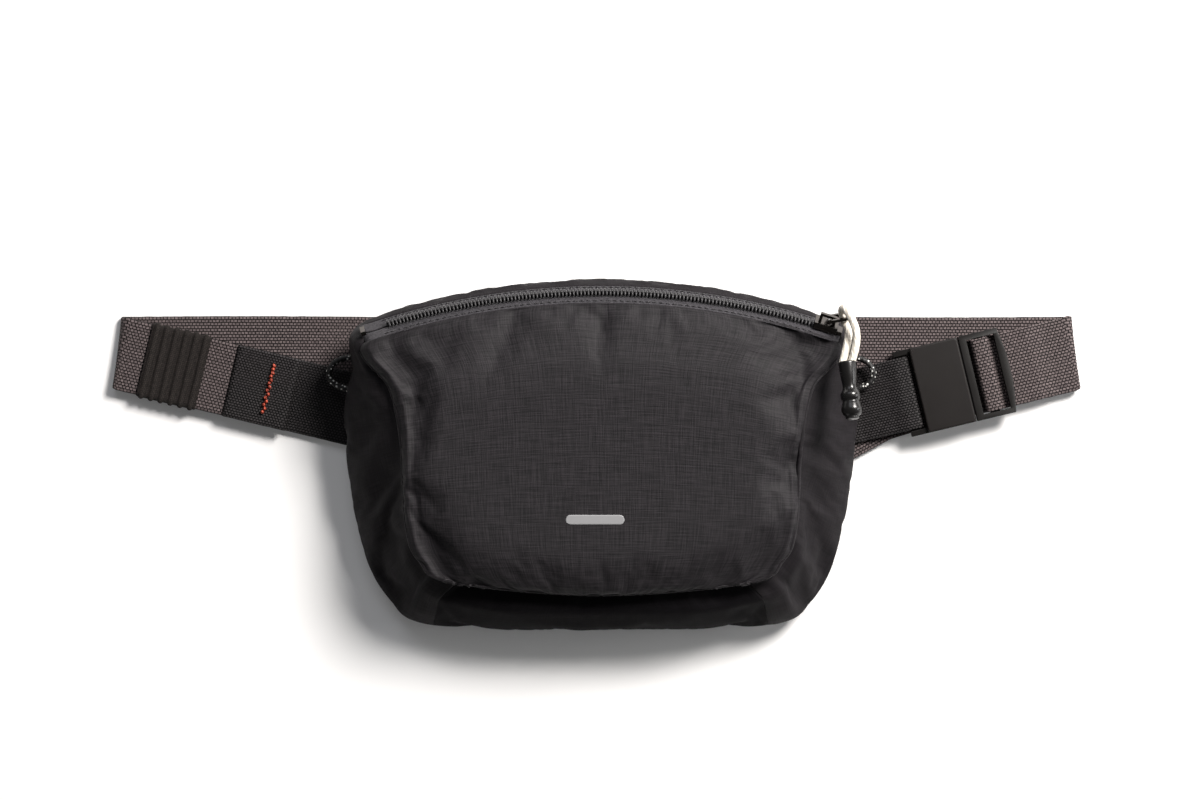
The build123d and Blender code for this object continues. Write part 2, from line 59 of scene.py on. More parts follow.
def addNode(tree, kind, settings=None, links=None):
    node = tree.nodes.new("ShaderNode" + kind)
    for key, value in (settings or {}).items():
        if isinstance(key, int) or key in node.inputs:
            node.inputs[key].default_value = value
        else:
            setattr(node, key, value)
    for key, source in (links or {}).items():
        tree.links.new(source, node.inputs[key])
    return node


def startMaterial(name, colour, **settings):
    material = bpy.data.materials.new(name)
    material.use_nodes = True
    tree = material.node_tree
    shader = tree.nodes["Principled BSDF"]
    shader.inputs["Base Color"].default_value = toLinear(colour)
    for key, value in settings.items():
        shader.inputs[key.replace("_", " ")].default_value = value
    return material, tree, shader


def makeMesh(name, points, faces, material, uvs=None, smooth=True):
    mesh = bpy.data.meshes.new(name)
    mesh.from_pydata([tuple(p) for p in points], [], [tuple(f) for f in faces])
    mesh.update()
    if uvs is not None:
        layer = mesh.uv_layers.new(name="weave")
        loops = np.zeros(len(mesh.loops), np.int32)
        mesh.loops.foreach_get("vertex_index", loops)
        layer.data.foreach_set("uv", np.asarray(uvs, float)[loops].ravel())
    mesh.polygons.foreach_set("use_smooth", [smooth] * len(mesh.polygons))
    obj = bpy.data.objects.new(name, mesh)
    scene.collection.objects.link(obj)
    obj.data.materials.append(material)
    return obj


def applyModifiers(obj):
    depsgraph = bpy.context.evaluated_depsgraph_get()
    mesh = bpy.data.meshes.new_from_object(obj.evaluated_get(depsgraph))
    obj.modifiers.clear()
    obj.data = mesh


def gridFaces(rows, columns, start=0):
    # faces of a tube: rows rings of columns points each, the first point numbered start
    faces = []
    for i in range(rows - 1):
        here, beyond = start + i * columns, start + (i + 1) * columns
        for j in range(columns):
            k = (j + 1) % columns
            faces.append((here + j, here + k, beyond + k, beyond + j))
    return faces


def quads(grid, flip=False):
    a, b, c, d = grid[:-1, :-1], grid[:-1, 1:], grid[1:, 1:], grid[1:, :-1]
    order = (a, d, c, b) if flip else (a, b, c, d)
    return np.stack([q.ravel() for q in order], axis=1).tolist()


def layerFaces(rows, columns):
    # faces of two layers of the same grid, joined round their border
    count = rows * columns
    index = np.arange(count).reshape(rows, columns)
    faces = quads(index) + [tuple(q + count for q in f) for f in quads(index, flip=True)]
    border = np.concatenate([index[0, :-1], index[:-1, -1], index[-1, :0:-1], index[:0:-1, 0]])
    return faces + [(b, a, a + count, b + count) for a, b in zip(border, np.roll(border, -1))]


def ringAt(centre, side, up, radius, count):
    # points round a circle in the plane of side and up
    turns = [2 * math.pi * k / count for k in range(count)]
    return [centre + radius * (side * math.cos(turn) + up * math.sin(turn)) for turn in turns]


def readMesh(collection, field, width):
    values = np.zeros(len(collection) * width)
    collection.foreach_get(field, values)
    return values.reshape(-1, width)


def catmull(points, count, closed=False):
    # count points along a smooth curve through given points, evenly by index
    p = np.asarray(points, float)
    n = len(p)
    t = np.linspace(0, n if closed else n - 1, count, endpoint=not closed)
    i = np.minimum(t.astype(int), n - 1 if closed else n - 2)
    f = (t - i)[:, None]
    pick = (lambda k: p[k % n]) if closed else (lambda k: p[np.clip(k, 0, n - 1)])
    a, b, c, d = pick(i - 1), pick(i), pick(i + 1), pick(i + 2)
    return 0.5 * (2 * b + (c - a) * f + (2 * a - 5 * b + 4 * c - d) * f**2 + (3 * b - a - 3 * c + d) * f**3)


def runAlong(line):
    # the distance from the line's start to each of its points
    return np.concatenate([[0], np.cumsum(np.linalg.norm(np.diff(line, axis=0), axis=1))])


def pointsAt(line, along, at):
    # the line's places at given distances from its start
    return np.stack([np.interp(at, along, line[:, k]) for k in range(line.shape[1])], axis=-1)


def evenly(line, count):
    # the same line with count points the same distance apart
    line = np.asarray(line, float)
    along = runAlong(line)
    return pointsAt(line, along, np.linspace(0, along[-1], count))


# Camera, light and floor
viewSet = {"width": 0.5004, "centre": (0.0015, 0.0227), "height": 1.9, "floorHalf": 3.0, "floorLow": -0.0002,
           "paperGlow": 0.07, "worldLight": 0.09}


def makeStage():
    camera = bpy.data.cameras.new("camera")
    camera.lens = camera.sensor_width * viewSet["height"] / viewSet["width"]
    cameraObj = bpy.data.objects.new("camera", camera)
    cameraObj.location = (*viewSet["centre"], viewSet["height"])
    scene.collection.objects.link(cameraObj)
    scene.camera = cameraObj
    floorMaterial, tree, shader = startMaterial("matt white paper", "#f4f4f4", Roughness=0.9)
    shader.inputs["Specular IOR Level"].default_value = 0.1
    shader.inputs["Emission Color"].default_value = toLinear("#ffffff")
    shader.inputs["Emission Strength"].default_value = viewSet["paperGlow"]      # it keeps the shadow light
    half, low = viewSet["floorHalf"], viewSet["floorLow"]
    corners = [(-half, -half, low), (half, -half, low), (half, half, low), (-half, half, low)]
    floor = makeMesh("floor", corners, [(0, 1, 2, 3)], floorMaterial)
    lights = (
        ("key softbox", (0.95, 1.0, 1.2), 0.62, 66, "#fffbf7"),
        ("side softbox", (1.5, 0.1, 0.5), 0.5, 5, "#ffffff"),
        ("fill softbox", (-0.4, 1.4, 1.4), 1.0, 5, "#f4f7ff"),
    )
    for name, place, size, power, colour in lights:
        light = bpy.data.lights.new(name, "AREA")
        light.size = size
        light.energy = power
        light.color = toLinear(colour)[:3]
        obj = bpy.data.objects.new(name, light)
        obj.location = place
        obj.rotation_euler = (Vector((0, 0, 0)) - Vector(place)).to_track_quat("-Z", "Y").to_euler()
        scene.collection.objects.link(obj)
    world = bpy.data.worlds.new("studio")
    world.use_nodes = True
    world.node_tree.nodes["Background"].inputs["Color"].default_value = toLinear("#ffffff")
    world.node_tree.nodes["Background"].inputs["Strength"].default_value = viewSet["worldLight"]
    scene.world = world
    scene.view_settings.view_transform = "Standard"


makeStage()
print("stage ready")


# Materials
def wovenCloth(name, light, dark, thread, relief, streaks, **settings):
    # Plain-woven cloth: colour varies thread by thread along warp and weft, with a fine relief.
    # thread is the drawn thread spacing in millimetres; real threads of 0.25 mm are too fine to show.
    material, tree, shader = startMaterial(name, light, **settings)
    uv = addNode(tree, "UVMap", {"uv_map": "weave"})
    fields = []
    for scale in ((1 / thread, 0.05 / thread, 1), (0.05 / thread, 1 / thread, 1)):
        mapping = addNode(tree, "Mapping", {"Scale": scale}, {"Vector": uv.outputs["UV"]})
        fields.append(addNode(tree, "TexNoise", {"Scale": 1.0, "Detail": 2.0, "Roughness": 0.6},
                              {"Vector": mapping.outputs["Vector"]}))
    both = addNode(tree, "Math", {"operation": "ADD"},
                   {0: fields[0].outputs["Fac"], 1: fields[1].outputs["Fac"]})
    ramp = addNode(tree, "MapRange",
                   {"From Min": 1.0 - streaks, "From Max": 1.0 + streaks}, {"Value": both.outputs[0]})
    mix = addNode(tree, "Mix", {"data_type": "RGBA"})
    for socket in mix.inputs:
        if socket.type == "RGBA":
            socket.default_value = toLinear(dark if socket.name == "A" else light)
    tree.links.new(ramp.outputs["Result"], mix.inputs["Factor"])
    tree.links.new([s for s in mix.outputs if s.type == "RGBA"][0], shader.inputs["Base Color"])
    bump = addNode(tree, "Bump", {"Strength": relief, "Distance": 0.0003},
                   {"Height": both.outputs[0]})
    tree.links.new(bump.outputs["Normal"], shader.inputs["Normal"])
    return material


def webbingWeave(name, yarn, gap, length, row, open_, relief, **settings):
    # Narrow woven tape: staggered raised floats of yarn, with painted shade in the hollows between them: gap
    # is that painted dark colour.
    # length and row are one float's size and open_ the hollow's half width, in millimetres.
    material, tree, shader = startMaterial(name, yarn, **settings)
    uv = addNode(tree, "UVMap", {"uv_map": "weave"})
    # the mortar colour is painted shade in the hollows between the floats
    brick = addNode(tree, "TexBrick", {
        "Scale": 1.0, "Brick Width": length, "Row Height": row, "Mortar Size": open_,
        "Mortar Smooth": 0.7, "Bias": 0.0, "Color1": toLinear(yarn), "Color2": toLinear(yarn),
        "Mortar": toLinear(gap)}, {"Vector": uv.outputs["UV"]})
    fleck = addNode(tree, "TexNoise", {"Scale": 0.8, "Detail": 4.0}, {"Vector": uv.outputs["UV"]})
    level = addNode(tree, "MapRange", {
        "From Min": 0.3, "From Max": 0.7, "To Min": 0.6, "To Max": 1.4},
                    {"Value": fleck.outputs["Fac"]})
    shade = addNode(tree, "HueSaturation", {}, {
        "Color": brick.outputs["Color"], "Value": level.outputs["Result"]})
    tree.links.new(shade.outputs["Color"], shader.inputs["Base Color"])
    rise = addNode(tree, "Math", {"operation": "SUBTRACT", 0: 1.0}, {1: brick.outputs["Fac"]})
    bump = addNode(tree, "Bump", {"Strength": relief, "Distance": 0.0005},
                   {"Height": rise.outputs[0]})
    tree.links.new(bump.outputs["Normal"], shader.inputs["Normal"])
    return material


def mouldedPlastic(name, colour, grain, relief, **settings):
    # Moulded part: an even colour with a fine spark-eroded grain; grain is its size in millimetres
    material, tree, shader = startMaterial(name, colour, **settings)
    place = addNode(tree, "TexCoord")
    fine = addNode(tree, "TexNoise", {"Scale": 1 / (grain * mm), "Detail": 2.0},
                   {"Vector": place.outputs["Object"]})
    wear = addNode(tree, "TexNoise", {"Scale": 90.0, "Detail": 4.0},
                   {"Vector": place.outputs["Object"]})
    rough = addNode(tree, "MapRange", {
        "To Min": shader.inputs["Roughness"].default_value - 0.06,
        "To Max": shader.inputs["Roughness"].default_value + 0.1}, {"Value": wear.outputs["Fac"]})
    tree.links.new(rough.outputs["Result"], shader.inputs["Roughness"])
    bump = addNode(tree, "Bump", {"Strength": relief, "Distance": 0.0001},
                   {"Height": fine.outputs["Fac"]})
    tree.links.new(bump.outputs["Normal"], shader.inputs["Normal"])
    return material


def braidedCord(name, colour, shadow, fleck, pitch, share, **settings):
    # Braided sheath: yarns cross on the diagonal; pitch is one crossing in millimetres.
    # share is how much of the surface the fleck yarn covers.
    material, tree, shader = startMaterial(name, colour, **settings)
    place = addNode(tree, "TexCoord")
    waves = []
    for direction in ("DIAGONAL", "X"):
        waves.append(addNode(tree, "TexWave", {
            "bands_direction": direction, "Scale": 0.16 / (pitch * mm), "Distortion": 0.6, "Detail": 1.0},
            {"Vector": place.outputs["Object"]}))
    cross = addNode(tree, "Math", {"operation": "MULTIPLY"},
                    {0: waves[0].outputs["Fac"], 1: waves[1].outputs["Fac"]})
    ramp = addNode(tree, "ValToRGB", {}, {"Fac": cross.outputs[0]})
    ramp.color_ramp.elements[0].color = toLinear(shadow)
    ramp.color_ramp.elements[1].color = toLinear(colour)
    ramp.color_ramp.elements[1].position = 0.35
    spots = addNode(tree, "TexVoronoi", {"Scale": 1 / (1.5 * mm)},
                    {"Vector": place.outputs["Object"]})
    near = addNode(tree, "Math", {"operation": "LESS_THAN", 1: share},
                   {0: spots.outputs["Distance"]})
    mix = addNode(tree, "Mix", {"data_type": "RGBA"}, {"Factor": near.outputs[0]})
    colourSockets = [s for s in mix.inputs if s.type == "RGBA"]
    tree.links.new(ramp.outputs["Color"], colourSockets[0])
    colourSockets[1].default_value = toLinear(fleck)
    tree.links.new([s for s in mix.outputs if s.type == "RGBA"][0], shader.inputs["Base Color"])
    bump = addNode(tree, "Bump", {"Strength": 0.5, "Distance": 0.0003},
                   {"Height": cross.outputs[0]})
    tree.links.new(bump.outputs["Normal"], shader.inputs["Normal"])
    return material


def platedZinc(name, colour, **settings):
    # Die-cast zinc plated black nickel: dark mirror with faint casting waviness
    material, tree, shader = startMaterial(name, colour, Metallic=1.0, **settings)
    place = addNode(tree, "TexCoord")
    cloudy = addNode(tree, "TexNoise", {"Scale": 420.0, "Detail": 3.0},
                     {"Vector": place.outputs["Object"]})
    bump = addNode(tree, "Bump", {"Strength": 0.12, "Distance": 0.0001},
                   {"Height": cloudy.outputs["Fac"]})
    tree.links.new(bump.outputs["Normal"], shader.inputs["Normal"])
    return material


fabricShine = {"Specular_IOR_Level": 0.22}
# charcoal with fine lines both ways
frontCloth = wovenCloth("heathered nylon weave", "#292629", "#141315", 0.62, 0.5, 0.24,
                        Roughness=0.66, **fabricShine)
# even and a little darker than the front
gussetCloth = wovenCloth("plain nylon weave", "#211e21", "#141214", 0.55, 0.3, 0.3,
                         Roughness=0.7, Specular_IOR_Level=0.14)
# nearly black as painted shade: darker than the gussets' cloth, for the base faces away from the lamps;
# without shine
basePaintedShadeCloth = wovenCloth("nylon weave painted dark as shade", "#121013", "#0a090b", 0.55, 0.3, 0.3,
                       Roughness=0.8, Specular_IOR_Level=0.1)
# mid grey, so that the inside reads as lighter than the shell
liningCloth = wovenCloth("taffeta lining", "#55565a", "#3d3e42", 0.8, 0.2, 0.3, Roughness=0.6)
# open cells, their hollows painted dark as shade
meshCloth = webbingWeave("knitted spacer mesh", "#262628", "#050505", 2.6, 2.2, 0.4, 0.9, Roughness=0.85)
# a finer, greyer band than the cloth beside it
tapeCloth = webbingWeave("woven zip tape", "#444246", "#1f1e20", 1.0, 0.7, 0.12, 0.5,
                         Roughness=0.7, **fabricShine)
# warm grey grains in rows
greyWebbing = webbingWeave("plain-woven polyester webbing", "#615757", "#0c090a", 1.5, 1.25, 0.25, 0.9,
                           Roughness=0.7, **fabricShine)
# black grains closer together, with a slight sheen
blackWebbing = webbingWeave("ribbed nylon webbing", "#353233", "#010101", 1.3, 1.05, 0.27, 0.9,
                            Roughness=0.55, **fabricShine)
# dull brown-black, finely ribbed
ribbedElastic = webbingWeave("ribbed knit elastic", "#2a2523", "#0b0908", 0.9, 0.8, 0.14, 0.7,
                             Roughness=0.8, **fabricShine)
# cream sheath, barely shaded between its yarns
creamCord = braidedCord("cream braided polyester", "#ece6dc", "#cdc5b8", "#f4f0e8", 0.7, 0.0, Roughness=0.7)
# bright specks on black
fleckedCord = braidedCord("black braid with reflective yarn", "#191819", "#050505", "#dcdcd8", 0.8, 0.3,
                          Roughness=0.6)
# glossy black with small sharp highlights
blackRubber = mouldedPlastic("polished moulded rubber", "#131212", 3.0, 0.02, Roughness=0.26, IOR=1.52)
# black with a soft, slightly grainy sheen
acetal = mouldedPlastic("moulded acetal", "#0f0d0c", 0.25, 0.2,
                        Roughness=0.42, Specular_IOR_Level=0.35, IOR=1.48)
# the same but more matt, so that the cover reads apart from the body
satinAcetal = mouldedPlastic("satin moulded acetal", "#120e0d", 0.22, 0.25,
                             Roughness=0.5, Specular_IOR_Level=0.3, IOR=1.48)
# small highlights on each loop of the chain
coilNylon = mouldedPlastic("extruded nylon coil", "#2a292b", 0.6, 0.05, Roughness=0.42, IOR=1.53)
# dark metal with clear highlights
blackNickel = platedZinc("black-nickel zinc", "#4d4844", Roughness=0.22)
# bright plain metal
nickel = platedZinc("nickel-plated magnet", "#c9c6c0", Roughness=0.2)
# flat mid grey
silverPrint = mouldedPlastic("reflective silver print", "#8e8e90", 0.2, 0.2, Roughness=0.4)
# the one bright colour on the belt
orangeThread = braidedCord("orange bonded thread", "#c4553d", "#6e2416", "#dd7c62", 0.5, 0.12, Roughness=0.55)
# stitches just lighter than the tape
darkThread = braidedCord("charcoal bonded thread", "#343236", "#121113", "#3c3a3d", 0.5, 0.05, Roughness=0.6)
print("materials ready")


# Cords first: the pull's loop and the two side loops, as in the frame
pullSet = {"diameter": 3.2 * mm, "loopDiameter": 2.4 * mm}
zipSet = {"centre": np.array([2.0, -234.0, 33.0]) * mm, "radius": 300 * mm, "lean": math.radians(26.6),
          "park": math.radians(17.75), "halfWidth": 8 * mm, "pitch": 1.5 * mm, "chain": math.radians(17.0),
          "coneEnd": math.radians(19.4), "coneEase": math.radians(1.0)}
alongZip = np.array([math.cos(zipSet["park"]), -math.sin(zipSet["park"]), 0])
awayZip = np.array([math.sin(zipSet["park"]), math.cos(zipSet["park"]), 0])
sliderAt = zipSet["centre"] + awayZip * zipSet["radius"]


def atSlider(forward, outward, up):
    return sliderAt + (alongZip * forward + awayZip * outward + np.array([0, 0, up])) * mm


def cordCurve(name, points, diameter, material):
    curve = bpy.data.curves.new(name, "CURVE")
    curve.dimensions = "3D"
    curve.bevel_depth = diameter / 2
    curve.bevel_resolution = 6
    curve.resolution_u = 10
    curve.use_fill_caps = True
    spline = curve.splines.new("NURBS")
    spline.points.add(len(points) - 1)
    for point, place in zip(spline.points, points):
        point.co = (*place, 1)
    spline.order_u = 3
    spline.use_endpoint_u = True
    curve.materials.append(material)
    obj = bpy.data.objects.new(name, curve)
    scene.collection.objects.link(obj)
    return obj


pullRoute = [
    atSlider(10.6, -12.2, 16.6), atSlider(10.4, -6.6, 14.6), atSlider(10.0, -1.0, 10.4),
    atSlider(9.4, 2.6, 5.8), atSlider(7.4, 4.4, 2.8), atSlider(5.5, 7.0, 3.5), atSlider(3.9, 9.8, 5.6),
    atSlider(4.7, 10.6, 9.8), atSlider(8.6, 7.4, 13.4), atSlider(12.6, 2.0, 15.8),
    atSlider(13.9, -5.0, 16.8), atSlider(13.9, -12.2, 17.0),
]
pullCord = cordCurve("pullCordLoop", pullRoute, pullSet["diameter"], creamCord)
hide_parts("pull_cord")
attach(pullCord, "pull")


def loopRoute(side):
    edge = 2.0 + side * 0.945 * 106
    out = edge + side * 13
    return [np.array(p) * mm for p in (
        (edge - side * 3.5, 40.5, 9.2), (edge + side * 4.5, 40.9, 10.2), (out - side * 1.5, 38.2, 10.9),
        (out + side * 0.6, 31.5, 10.7), (out - side * 6.5, 26.8, 10.1), (edge - side * 3.5, 26.4, 9.2))]


for side, node in ((-1, "loop_left"), (1, "loop_right")):
    sideLoop = cordCurve("sideLoop" + ("Left" if side < 0 else "Right"), loopRoute(side),
                         pullSet["loopDiameter"], fleckedCord)
    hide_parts(node)
    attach(sideLoop, "bag")

# Moulded end: neck, waist and a double bulb, turned about its own axis
endStart = atSlider(12.2, -10.2, 16.6)
endTip = atSlider(21.0, -31.4, 20.6)


def turned(name, profile, start, direction, sides, material):
    direction = direction / np.linalg.norm(direction)
    side = np.cross(direction, [0, 0, 1])
    side /= np.linalg.norm(side)
    up = np.cross(side, direction)
    points = []
    for distance, radius in profile:
        points += ringAt(start + direction * distance, side, up, radius, sides)
    faces = gridFaces(len(profile), sides)
    faces.append(tuple(range(sides))[::-1])
    faces.append(tuple(range(len(points) - sides, len(points))))
    return makeMesh(name, points, faces, material)


endProfile = catmull([(0, 2.4), (0.15, 3.5), (1.4, 3.7), (5.5, 3.4), (9.8, 2.9), (11.6, 3.1), (13.4, 4.0),
                      (15.0, 4.0), (16.4, 3.5), (17.8, 3.9), (19.8, 4.3), (21.6, 3.8), (22.6, 2.9),
                      (23.5, 2.7), (23.9, 1.5), (24.0, 0.1)], 110) * mm
pullEnd = turned("mouldedPullEnd", endProfile, endStart, endTip - endStart, 48, blackRubber)
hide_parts("pull_end")
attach(pullEnd, "pull")
print("cords ready")


# Bag: one net of points for all the panels, shaped, then simulated as cloth
# Half outlines from the middle of the zip side round to the middle of the base: x from the
# bag's own middle, y, z, in millimetres. The third point is the zip's end, the eighth the base's corner.
bagSet = {"middle": 2.0, "across": 108, "down": 72, "rows": 24, "zipRow": 13, "tapeGap": 0.75,
          "sideGroove": 2.0, "baseGroove": 5.6, "crown": 47.7, "fill": 0.86, "frames": 18, "cap": 5.0,
          "cloth": 0.9, "gusset": 0.8, "tape": 0.6}
outlines = [
    [(0, 66, 3.2), (48, 62, 3.2), (92, 51.5, 3.2), (97.5, 32, 3.2), (98, 5, 3.2), (93, -34, 3.2),
     (83, -55, 3.2), (68, -64.5, 3.2), (0, -65.5, 3.2)],
    [(0, 70.5, 12), (48, 66.6, 12), (96.5, 54, 11), (103, 34, 10), (104.5, 6, 10), (97.5, -37, 9),
     (87, -58.5, 8), (69, -69, 7), (0, -71, 7)],
    [(0, 72, 20), (48, 68.1, 20), (98, 54.6, 18), (104, 34, 17), (105.5, 7, 17), (96.5, -38, 15),
     (85.5, -59.5, 13), (69, -69.5, 12), (0, -71.4, 12)],
    [(0, 69.6, 25.8), (47.9, 65.8, 25.8), (98.2, 53.2, 25.8), (101.5, 34, 26), (101, 7, 26), (92, -39, 24),
     (81, -57.5, 21), (67.5, -66, 20), (0, -67.5, 20)],
    [(0, 66, 33), (47.3, 62.2, 33), (98.0, 49.6, 32), (95, 32, 34), (91.5, 6, 35), (84.3, -35, 33),
     (76.5, -51, 31), (65, -58, 30), (0, -60.5, 30)],
    [(0, 62.4, 40.15), (46.7, 58.7, 40.15), (96.9, 46.4, 35), (86.5, 27, 40.5), (82, 5, 41.5),
     (79.8, -29, 40.5), (74.5, -43, 39.5), (60.5, -52, 39), (0, -57, 40)],
]


def sidesOf(half):
    # the four sides of one closed outline, as points that go right along the zip and round to the left
    middle = bagSet["middle"]
    right = [np.array(p, float) for p in half]
    left = [p * [-1, 1, 1] for p in right[-2:0:-1]]
    ring = np.array(right + left) + [middle, 0, 0]
    pieces = 40      # between two listed points
    fine = catmull(ring, pieces * len(ring), closed=True)
    a, b, c, d = 2 * pieces, 7 * pieces, (len(ring) - 7) * pieces, (len(ring) - 2) * pieces
    across, down = bagSet["across"] + 1, bagSet["down"] + 1
    return {
        "top": evenly(np.concatenate([fine[d:], fine[:a + 1]]), across), "right": evenly(fine[a:b + 1], down),
        "bottom": evenly(fine[b:c + 1], across), "left": evenly(fine[c:d + 1], down)}


zipRow = bagSet["zipRow"]
middleRow = (bagSet["rows"] + zipRow) // 2


def zipCone(points, share):
    # the zip's own cone: share 0 at the tape's back edge, 1 at its front edge
    out = np.array(points)
    centre = zipSet["centre"] / mm
    turn = np.arctan2(out[:, 0] - centre[0], out[:, 1] - centre[1])
    across = (2 * share - 1) * zipSet["halfWidth"] / mm
    radius = zipSet["radius"] / mm - across * math.sin(zipSet["lean"])
    height = centre[2] + across * math.cos(zipSet["lean"])
    level = np.stack([centre[0] + radius * np.sin(turn), centre[1] + radius * np.cos(turn),
                      np.full(len(turn), height)], axis=1)
    ease = np.clip((zipSet["coneEnd"] - np.abs(turn)) / zipSet["coneEase"], 0, 1)[:, None]
    return out + (level - out) * ease


def shapeBag():
    rows = bagSet["rows"]
    rings = [sidesOf(half) for half in outlines]
    sides = {}
    for name in ("top", "right", "bottom", "left"):
        stack = np.array([ring[name] for ring in rings])
        sides[name] = catmull(stack.reshape(len(rings), -1), rows + 1).reshape(rows + 1, -1, 3)
    half = zipSet["halfWidth"] / mm
    for row in range(zipRow, rows + 1):
        # the two tapes stop short of each other, where the slider's post runs
        step = (row - zipRow) if row <= middleRow else (row - middleRow - 1)
        width = (half - bagSet["tapeGap"]) / (middleRow - zipRow)
        across = -half + step * width if row <= middleRow else bagSet["tapeGap"] + step * width
        sides["top"][row] = zipCone(sides["top"][row], (across + half) / (2 * half))
    # the front panel stands out over its seam, most of all along the base
    for name in ("right", "bottom", "left"):
        share = np.linspace(0, 1, sides[name].shape[1])
        low = {"right": share, "bottom": np.ones_like(share), "left": 1 - share}[name]
        low = np.clip((low - 0.62) / 0.3, 0, 1)
        deep = bagSet["sideGroove"] + (bagSet["baseGroove"] - bagSet["sideGroove"]) * low**2 * (3 - 2 * low)
        if name != "bottom":
            deep = deep * np.clip((share if name == "right" else 1 - share) / 0.12, 0, 1)
        for back in range(1, 5):
            row = sides[name][rows - back]
            inward = np.array([bagSet["middle"], 5, 0]) - row
            inward[:, 2] = 0
            inward /= np.linalg.norm(inward, axis=1, keepdims=True)
            size = deep * (0.75, 1.0, 0.7, 0.25)[back - 1]
            row += inward * size[:, None]
            row[:, 2] -= 0.35 * size
    # ends of neighbouring sides are the same seam
    for first, second in (("top", "right"), ("right", "bottom"), ("bottom", "left"), ("left", "top")):
        sides[second][:, 0] = sides[first][:, -1]
    return sides


def patch(top, right, bottom, left):
    # a panel that fills four edges; top and bottom run the same way after the turn
    n, m = len(top), len(right)
    u = np.linspace(0, 1, n)[None, :, None]
    v = np.linspace(0, 1, m)[:, None, None]
    low, lft = bottom[::-1], left[::-1]
    flat = (1 - v) * top[None] + v * low[None] + (1 - u) * lft[:, None] + u * right[:, None]
    corner = ((1 - u) * (1 - v) * top[0] + u * (1 - v) * top[-1] + (1 - u) * v * low[0] + u * v * low[-1])
    return flat - corner


def buildBag():
    sides = shapeBag()
    rows = bagSet["rows"]
    points, index = [], {}

    def add(place):
        key = tuple(np.round(place, 4))
        if key not in index:
            index[key] = len(points)
            points.append(place)
        return index[key]

    def numbered(net):
        return np.array([[add(place) for place in line] for line in net])

    panels = {name: numbered(levels) for name, levels in sides.items()}
    rim = {name: sides[name][rows] for name in sides}
    front = patch(rim["top"], rim["right"], rim["bottom"], rim["left"])
    u = np.linspace(-1, 1, front.shape[1])[None, :]
    v = np.linspace(-1, 1, front.shape[0])[:, None]
    pillow = (1 - np.abs(u) ** 3.4) * (1 - np.abs(v) ** 2.7)
    front[:, :, 2] += pillow * (bagSet["crown"] - front[:, :, 2]) * bagSet["fill"]
    panels["front"] = numbered(front)
    rim = {name: sides[name][0] for name in sides}
    panels["back"] = numbered(patch(rim["top"], rim["right"], rim["bottom"], rim["left"]))
    return np.array(points), panels


def clothRun(points, panels):
    # pressed out and left a little too large for its seams, so that it puckers and folds like cloth
    faces = []
    for name in ("top", "right", "bottom", "left"):
        faces += quads(panels[name], flip=True)
    faces += quads(panels["front"], flip=True) + quads(panels["back"])
    obj = makeMesh("clothRun", points * mm, faces, gussetCloth)
    held = np.zeros(len(points))
    held[panels["back"].ravel()] = 1
    held[panels["top"][zipRow - 1:].ravel()] = 1
    for name in ("right", "bottom", "left"):
        held[panels[name][-1]] = 0.75
        held[panels[name][:2].ravel()] = 1
    pins = obj.vertex_groups.new(name="held")
    for level in (0.75, 1.0):
        pins.add(np.flatnonzero(held == level).tolist(), level, "REPLACE")
    modifier = obj.modifiers.new("cloth", "CLOTH")
    cloth = modifier.settings
    cloth.quality = 7
    cloth.mass = 0.15
    cloth.tension_stiffness = 18
    cloth.compression_stiffness = 18
    cloth.shear_stiffness = 6
    cloth.bending_stiffness = 0.25
    cloth.tension_damping = 8
    cloth.air_damping = 3
    cloth.vertex_group_mass = "held"
    cloth.pin_stiffness = 2
    cloth.shrink_min = -0.03
    cloth.use_pressure = True
    cloth.uniform_pressure_force = 2.2
    cloth.effector_weights.gravity = 0
    modifier.collision_settings.use_collision = False
    modifier.point_cache.frame_end = bagSet["frames"] + 2
    for step in range(1, bagSet["frames"] + 1):
        scene.frame_set(step)
    depsgraph = bpy.context.evaluated_depsgraph_get()
    mesh = obj.evaluated_get(depsgraph).to_mesh()
    moved = readMesh(mesh.vertices, "co", 3) / mm
    bpy.data.objects.remove(obj)
    scene.frame_set(1)
    step = moved - points
    size = np.linalg.norm(step, axis=1, keepdims=True)
    print("cloth moved at most", round(float(size.max()), 1), "mm")
    limited = points + step * np.minimum(1, bagSet["cap"] / np.maximum(size, 1e-9))
    limited[held == 1] = points[held == 1]
    return limited


bagPoints, bagPanels = buildBag()
print("bag net has", len(bagPoints), "points")
bagPoints = clothRun(bagPoints, bagPanels)


pressSet = {"reach": [262, 272, 290, 296.5], "ceiling": [47.8, 47.2, 44.0, 41.2], "edge": 296, "soft": 0.8}


def pressUnderPull(points):
    # the front stays under the path of the hanging pull, which sweeps over it
    front = bagPanels["front"].ravel()
    reach = np.hypot(points[front, 0] - zipSet["centre"][0] / mm, points[front, 1] - zipSet["centre"][1] / mm)
    ceiling = np.interp(reach, pressSet["reach"], pressSet["ceiling"])
    room = (ceiling - points[front, 2]) / pressSet["soft"]
    pressed = ceiling - pressSet["soft"] * np.logaddexp(0, room)
    rim = np.zeros(bagPanels["front"].shape, bool)
    rim[1:-1, 1:-1] = True
    change = (reach < pressSet["edge"]) & rim.ravel()
    points[front[change], 2] = pressed[change]


pressUnderPull(bagPoints)


def panelLengths(grid):
    # distances in millimetres along both directions of a panel, for its weave
    net = bagPoints[grid]
    rows, columns = grid.shape
    u = np.stack([runAlong(line) for line in net]).mean(axis=0)
    v = np.stack([runAlong(net[:, j]) for j in range(columns)]).mean(axis=0)
    return u[None, :].repeat(rows, 0), v[:, None].repeat(columns, 1)


